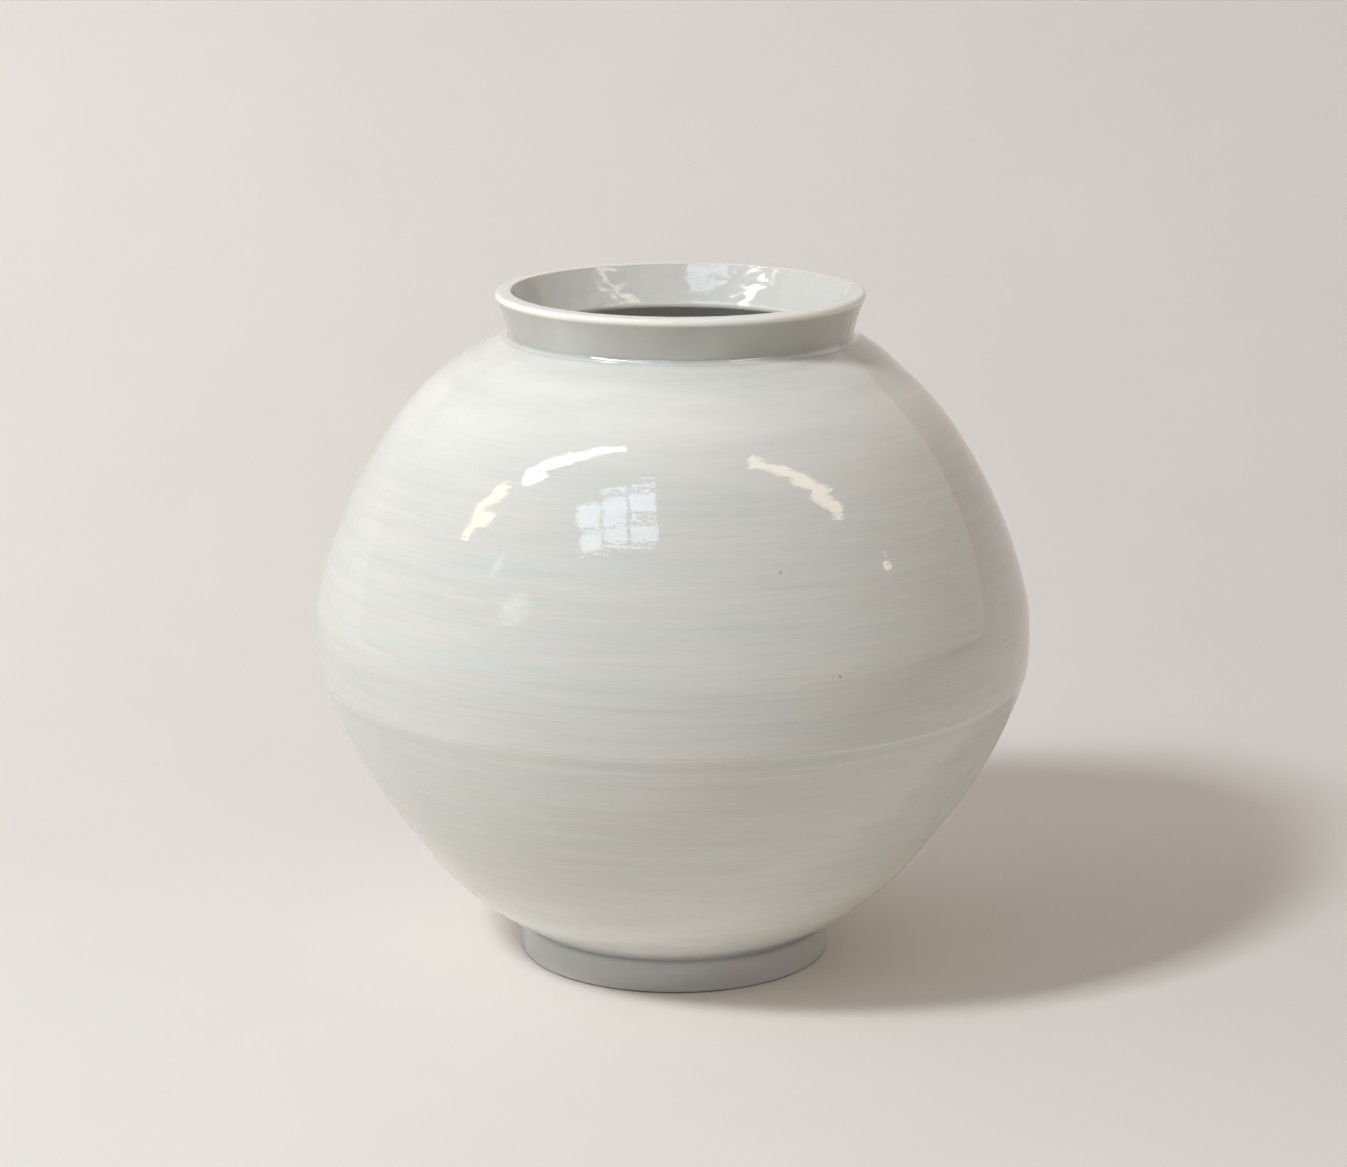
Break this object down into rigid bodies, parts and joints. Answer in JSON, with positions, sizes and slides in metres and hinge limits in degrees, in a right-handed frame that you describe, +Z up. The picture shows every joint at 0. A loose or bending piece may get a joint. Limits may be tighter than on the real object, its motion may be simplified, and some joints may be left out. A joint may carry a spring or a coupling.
{
  "type": "moon jar",
  "caption": "Round white-glazed porcelain moon jar: an upper and a lower bowl luted at the waist, with a flared mouth collar and a plain foot ring, for storing or display.",
  "frame": {"origin": "on the floor, under the middle of the foot ring", "axes": "+Z up along the axis on which the pieces were thrown; the picture looks along +Y, with +X to its right"},
  "size_m": [0.4749, 0.475, 0.45],
  "materials": {
    "bowl_glaze": "clear glossy glaze over white porcelain, with faint brush and throwing bands",
    "collar_glaze": "clear glossy glaze, warmer and thinner on the lip, pooled at the foot of the collar",
    "foot_glaze": "thin bluish glaze on the sides, bare fired clay where it meets the floor",
    "slip": "fired porcelain slip under the same clear glaze"
  },
  "bodies": {
    "root": {"foot_ring": "foot_glaze", "foot_slip_seam": "slip", "lower_bowl": "bowl_glaze", "waist_slip_seam": "slip", "upper_bowl": "bowl_glaze", "collar_slip_seam": "slip", "mouth_collar": "collar_glaze"}
  },
  "joints": []
}
